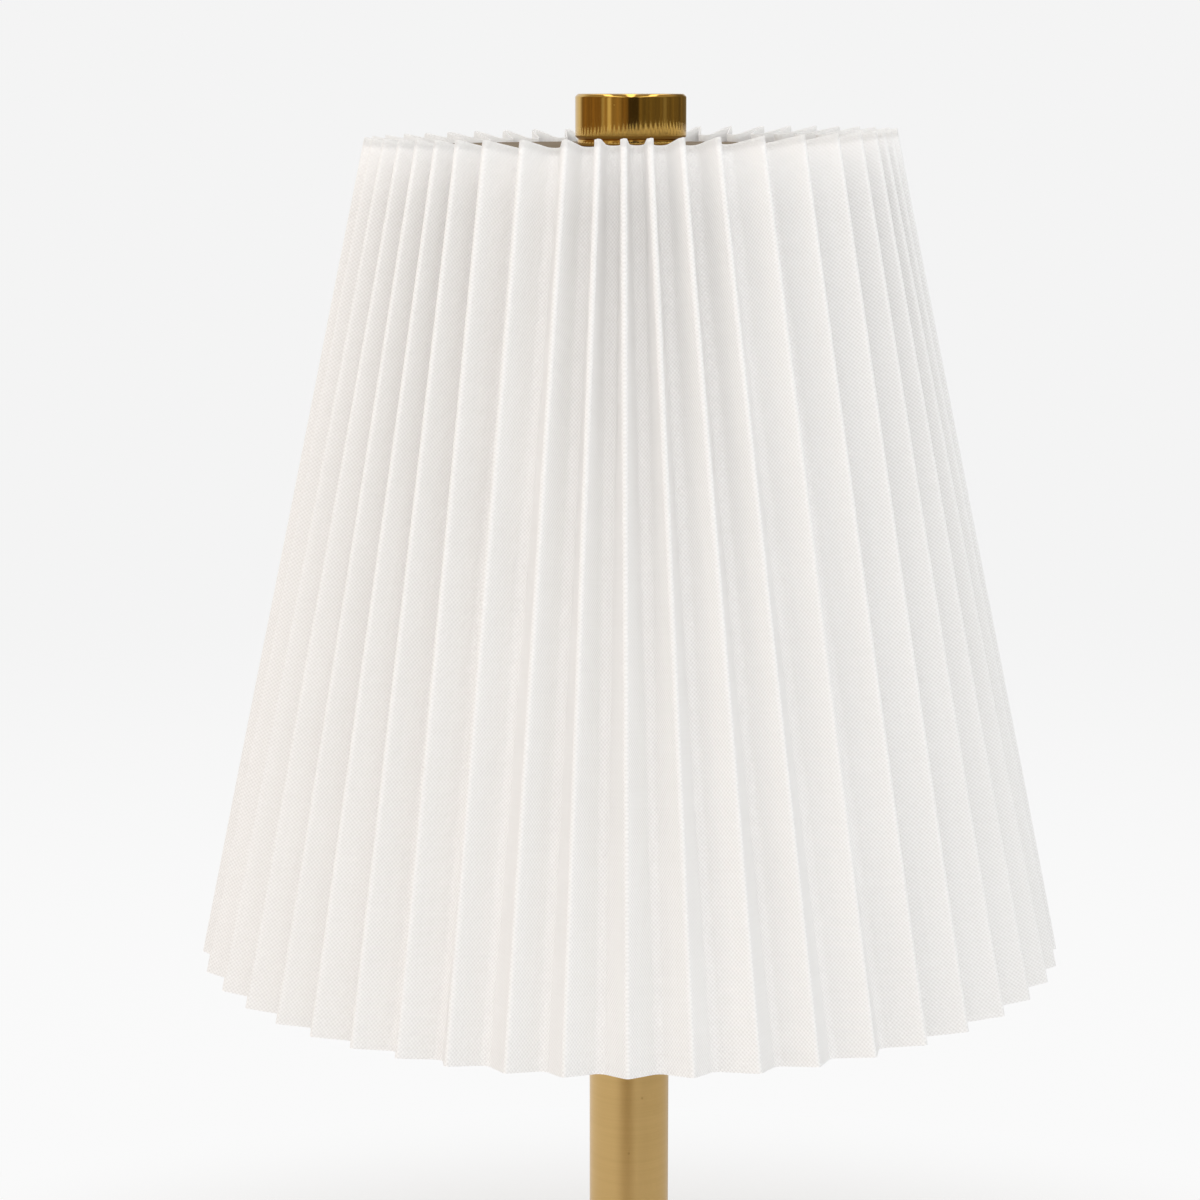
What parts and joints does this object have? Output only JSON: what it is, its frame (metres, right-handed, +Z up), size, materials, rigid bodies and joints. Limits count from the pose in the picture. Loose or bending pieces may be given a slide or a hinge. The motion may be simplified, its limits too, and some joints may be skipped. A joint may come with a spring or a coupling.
{
  "type": "cordless table lamp",
  "caption": "Rechargeable table lamp: knife-pleated fabric cone shade clamped by a turned brass finial knob on a slim brass stem over a round weighted base with a charging socket.",
  "frame": {"origin": "on the table under the stem's axis, in the plane of the foot's underside", "axes": "+Z up along the stem, -Y towards the viewer, +Y towards the charging socket"},
  "size_m": [0.1598, 0.16, 0.3],
  "materials": {
    "brass_satin": "satin brushed round the axis",
    "brass_polished": "polished",
    "fabric_white": "fine plain weave, laminated, matt",
    "plate_taupe": "glossy grey-brown lacquer",
    "steel": "zinc plated",
    "aluminium": "turned",
    "silicone": "matt",
    "opal": "opal, satin",
    "plastic_dark": "fine moulded texture",
    "board_green": "solder mask",
    "board_white": "white solder mask",
    "led_phosphor": "phosphor resin",
    "battery_foil": "foil pouch",
    "lens_clear": "clear moulded",
    "lead_black": "sheath"
  },
  "bodies": {
    "lamp_body": {"base_shell": "brass_satin", "bottom_cover": "plastic_dark", "foot_ring": "silicone", "ballast_disc": "steel", "cover_screw_1": "steel", "cover_screw_2": "steel", "cover_screw_3": "steel", "cover_screw_4": "steel", "battery_pack": "battery_foil", "control_board": "board_green", "board_screw_1": "steel", "board_screw_2": "steel", "usb_c_socket": "steel", "charge_light": "lens_clear", "stem_tube": "brass_satin", "tie_rod": "steel", "base_collar": "brass_satin", "lock_washer": "steel", "rod_nut": "steel", "led_screw_1": "steel", "led_screw_2": "steel", "led_heatsink": "aluminium", "led_board": "board_white", "led_chip_1": "led_phosphor", "led_chip_2": "led_phosphor", "led_chip_3": "led_phosphor", "led_chip_4": "led_phosphor", "led_chip_5": "led_phosphor", "led_chip_6": "led_phosphor", "led_chip_7": "led_phosphor", "led_chip_8": "led_phosphor", "diffuser": "opal", "top_stud": "steel", "led_lead": "lead_black", "battery_lead": "lead_black"},
    "shade_seat": {"shade_gasket": "silicone"},
    "shade": {"shade_fabric": "fabric_white", "shade_plate": "plate_taupe", "bottom_ring": "steel", "rib_1": "steel", "rib_2": "steel", "rib_3": "steel"},
    "knob_seat": {"knob_washer": "brass_polished"},
    "knob": {"knob": "brass_polished"}
  },
  "joints": [
    {"name": "shade_lift", "type": "slide", "parent": "lamp_body", "child": "shade_seat", "axis": [0, 0, 1], "range_m": [0, 0.16]},
    {"name": "shade_turn", "type": "hinge", "parent": "shade_seat", "child": "shade", "pos_m": [0, 0, 0.29], "axis": [0, 0, 1], "continuous": true},
    {"name": "knob_rise", "type": "slide", "parent": "shade_seat", "child": "knob_seat", "axis": [0, 0, 1], "range_m": [0, 0.006]},
    {"name": "knob_turn", "type": "hinge", "parent": "knob_seat", "child": "knob", "pos_m": [0, 0, 0.296], "axis": [0, 0, 1], "range_deg": [0, 2160]}
  ],
  "couplings": [
    {"joint": "knob_rise", "follows": "knob_turn", "m_per_rad": 0.000159}
  ]
}
